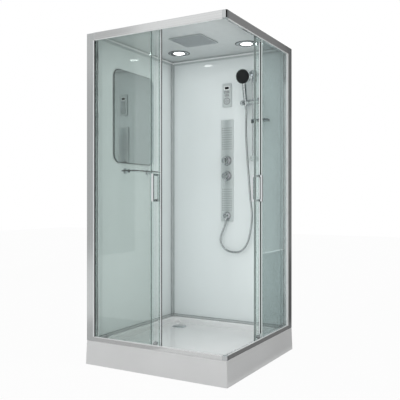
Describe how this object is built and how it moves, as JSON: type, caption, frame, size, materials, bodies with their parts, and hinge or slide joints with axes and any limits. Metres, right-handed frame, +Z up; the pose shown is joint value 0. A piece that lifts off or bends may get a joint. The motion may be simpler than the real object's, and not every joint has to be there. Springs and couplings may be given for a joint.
{
  "type": "shower cabin",
  "caption": "Square corner-entry shower cabin with tray, silver frame, clear sliding doors, pale glass walls, rain shower, massage column and hand shower on a bar.",
  "frame": {"origin": "on the floor, in the middle of the cabin's square plan", "axes": "+Z up; +Y towards the back wall with the shower column; +X to the right, so that the open corner is at +X, -Y"},
  "size_m": [1.01, 1.01, 2.15],
  "materials": {
    "white_acrylic": "glossy white sanitary acrylic",
    "zinc_steel": "zinc grey, dull",
    "black_plastic": "matt black moulded plastic",
    "grey_plastic": "grey drainage plastic",
    "wheel_nylon": "milky grey nylon of the door wheels",
    "chrome": "bright chrome plating",
    "satin_aluminium": "satin silver anodised profile",
    "painted_glass": "toughened glass, white paint on the back, glossy front",
    "clear_glass": "clear toughened glass with a faint green tint",
    "clear_seal": "clear flexible strip with a dark magnet core",
    "ceiling_white": "white formed plastic, satin",
    "rain_grey": "brushed grey plate with dark rubber nozzles",
    "lamp_lens": "frosted white lens, lit",
    "silvered_glass": "silvered mirror with a dark edge",
    "column_silver": "polished silver plate with a darker middle band",
    "display_black": "black glossy window",
    "button_silver": "silver plastic buttons",
    "nozzle_rubber": "grey silicone nozzles",
    "raw_brass": "raw brass body",
    "pipe_plastic": "off-white water pipe",
    "spray_black": "black spray face with rubber nozzles",
    "smoked_plastic": "clear grey plastic dish"
  },
  "bodies": {
    "cabin": {"tray": "white_acrylic", "support_frame": "zinc_steel", "levelling_feet": "black_plastic", "waste_trap": "grey_plastic", "wall_posts": "satin_aluminium", "rear_corner_post": "satin_aluminium", "front_top_rail": "satin_aluminium", "side_top_rail": "satin_aluminium", "bottom_rails": "satin_aluminium", "corner_joints": "chrome", "left_wall_panel": "painted_glass", "back_wall_panel": "painted_glass", "wall_trims": "satin_aluminium", "fixed_panes": "clear_glass", "fixed_pane_seals": "clear_seal", "roof_panel": "ceiling_white", "rain_shower": "rain_grey", "rain_pipe": "pipe_plastic", "downlight_housings": "chrome", "downlight_lenses": "lamp_lens", "wall_mirror": "silvered_glass", "glass_shelf": "clear_glass", "shelf_holders": "chrome", "control_panel": "column_silver", "display_window": "display_black", "column_plate": "column_silver", "jet_mats": "nozzle_rubber", "mixing_valve": "raw_brass", "hose_outlet": "chrome", "shower_hose": "chrome", "slide_bar": "chrome"},
    "waste_cover": {"waste_cover": "chrome"},
    "button_left": {"button_left": "button_silver"},
    "button_right": {"button_right": "button_silver"},
    "button_wide": {"button_wide": "button_silver"},
    "nav_pad": {"nav_pad": "button_silver"},
    "diverter": {"diverter_knob": "chrome"},
    "mixer": {"mixer_lever": "chrome"},
    "slider": {"slider": "chrome"},
    "slider_button": {"slider_button": "black_plastic"},
    "holder": {"shower_holder": "chrome"},
    "hand_shower": {"hand_shower": "chrome", "spray_face": "spray_black"},
    "soap_dish": {"soap_dish": "smoked_plastic"},
    "front_door": {"front_door_glass": "clear_glass", "front_door_seal": "clear_seal", "front_door_handle": "chrome", "front_door_axles": "chrome"},
    "front_wheel_top_lead": {"front_wheel_top_lead": "wheel_nylon"},
    "front_wheel_top_trail": {"front_wheel_top_trail": "wheel_nylon"},
    "front_wheel_low_lead": {"front_wheel_low_lead": "wheel_nylon"},
    "front_wheel_low_trail": {"front_wheel_low_trail": "wheel_nylon"},
    "side_door": {"side_door_glass": "clear_glass", "side_door_seal": "clear_seal", "side_door_handle": "chrome", "side_door_axles": "chrome"},
    "side_wheel_top_lead": {"side_wheel_top_lead": "wheel_nylon"},
    "side_wheel_top_trail": {"side_wheel_top_trail": "wheel_nylon"},
    "side_wheel_low_lead": {"side_wheel_low_lead": "wheel_nylon"},
    "side_wheel_low_trail": {"side_wheel_low_trail": "wheel_nylon"}
  },
  "joints": [
    {"name": "front_door_slide", "type": "slide", "parent": "cabin", "child": "front_door", "axis": [1, 0, 0], "range_m": [0, 0.4155]},
    {"name": "front_wheel_top_lead_spin", "type": "hinge", "parent": "front_door", "child": "front_wheel_top_lead", "pos_m": [0.005, -0.472, 2.0778], "axis": [0, 1, 0], "range_deg": [0, 2075]},
    {"name": "front_wheel_top_trail_spin", "type": "hinge", "parent": "front_door", "child": "front_wheel_top_trail", "pos_m": [-0.367, -0.472, 2.0778], "axis": [0, 1, 0], "range_deg": [0, 2075]},
    {"name": "front_wheel_low_lead_spin", "type": "hinge", "parent": "front_door", "child": "front_wheel_low_lead", "pos_m": [0.005, -0.472, 0.1818], "axis": [0, 1, 0], "range_deg": [0, 2075]},
    {"name": "front_wheel_low_trail_spin", "type": "hinge", "parent": "front_door", "child": "front_wheel_low_trail", "pos_m": [-0.367, -0.472, 0.1818], "axis": [0, 1, 0], "range_deg": [0, 2075]},
    {"name": "side_door_slide", "type": "slide", "parent": "cabin", "child": "side_door", "axis": [0, -1, 0], "range_m": [0, 0.4155]},
    {"name": "side_wheel_top_lead_spin", "type": "hinge", "parent": "side_door", "child": "side_wheel_top_lead", "pos_m": [0.472, -0.005, 2.0778], "axis": [1, 0, 0], "range_deg": [0, 2075]},
    {"name": "side_wheel_top_trail_spin", "type": "hinge", "parent": "side_door", "child": "side_wheel_top_trail", "pos_m": [0.472, 0.367, 2.0778], "axis": [1, 0, 0], "range_deg": [0, 2075]},
    {"name": "side_wheel_low_lead_spin", "type": "hinge", "parent": "side_door", "child": "side_wheel_low_lead", "pos_m": [0.472, -0.005, 0.1818], "axis": [1, 0, 0], "range_deg": [0, 2075]},
    {"name": "side_wheel_low_trail_spin", "type": "hinge", "parent": "side_door", "child": "side_wheel_low_trail", "pos_m": [0.472, 0.367, 0.1818], "axis": [1, 0, 0], "range_deg": [0, 2075]},
    {"name": "waste_cover_lift", "type": "slide", "parent": "cabin", "child": "waste_cover", "axis": [0, 0, 1], "range_m": [0, 0.05]},
    {"name": "button_left_press", "type": "slide", "parent": "cabin", "child": "button_left", "axis": [0, 1, 0], "range_m": [0, 0.001], "stiffness_N_per_m": 600},
    {"name": "button_right_press", "type": "slide", "parent": "cabin", "child": "button_right", "axis": [0, 1, 0], "range_m": [0, 0.001], "stiffness_N_per_m": 600},
    {"name": "button_wide_press", "type": "slide", "parent": "cabin", "child": "button_wide", "axis": [0, 1, 0], "range_m": [0, 0.001], "stiffness_N_per_m": 600},
    {"name": "nav_pad_press", "type": "slide", "parent": "cabin", "child": "nav_pad", "axis": [0, 1, 0], "range_m": [0, 0.001], "stiffness_N_per_m": 600},
    {"name": "diverter_turn", "type": "hinge", "parent": "cabin", "child": "diverter", "pos_m": [0.012, 0.43, 1.332], "axis": [0, -1, 0], "range_deg": [0, 270]},
    {"name": "mixer_turn", "type": "hinge", "parent": "cabin", "child": "mixer", "pos_m": [0.012, 0.43, 1.22], "axis": [0, -1, 0], "range_deg": [-50, 50]},
    {"name": "slider_slide", "type": "slide", "parent": "cabin", "child": "slider", "axis": [0, 0, 1], "range_m": [-0.09, 0.125], "deforming": ["shower_hose"]},
    {"name": "slider_button_press", "type": "slide", "parent": "slider", "child": "slider_button", "axis": [0, 0, -1], "range_m": [0, 0.003], "stiffness_N_per_m": 800},
    {"name": "holder_tilt", "type": "hinge", "parent": "slider", "child": "holder", "pos_m": [0.208, 0.424, 1.74], "axis": [1, 0, 0], "range_deg": [-2, 25], "deforming": ["shower_hose"]},
    {"name": "hand_shower_lift", "type": "slide", "parent": "holder", "child": "hand_shower", "axis": [0, -0.2079, 0.9781], "range_m": [0, 0.05], "deforming": ["shower_hose"]},
    {"name": "soap_dish_slide", "type": "slide", "parent": "cabin", "child": "soap_dish", "axis": [0, 0, 1], "range_m": [-0.225, 0.09]}
  ],
  "couplings": [
    {"joint": "front_wheel_top_lead_spin", "follows": "front_door_slide", "rad_per_m": 86.957},
    {"joint": "front_wheel_top_trail_spin", "follows": "front_door_slide", "rad_per_m": 86.957},
    {"joint": "front_wheel_low_lead_spin", "follows": "front_door_slide", "rad_per_m": 86.957},
    {"joint": "front_wheel_low_trail_spin", "follows": "front_door_slide", "rad_per_m": 86.957},
    {"joint": "side_wheel_top_lead_spin", "follows": "side_door_slide", "rad_per_m": 86.957},
    {"joint": "side_wheel_top_trail_spin", "follows": "side_door_slide", "rad_per_m": 86.957},
    {"joint": "side_wheel_low_lead_spin", "follows": "side_door_slide", "rad_per_m": 86.957},
    {"joint": "side_wheel_low_trail_spin", "follows": "side_door_slide", "rad_per_m": 86.957}
  ]
}
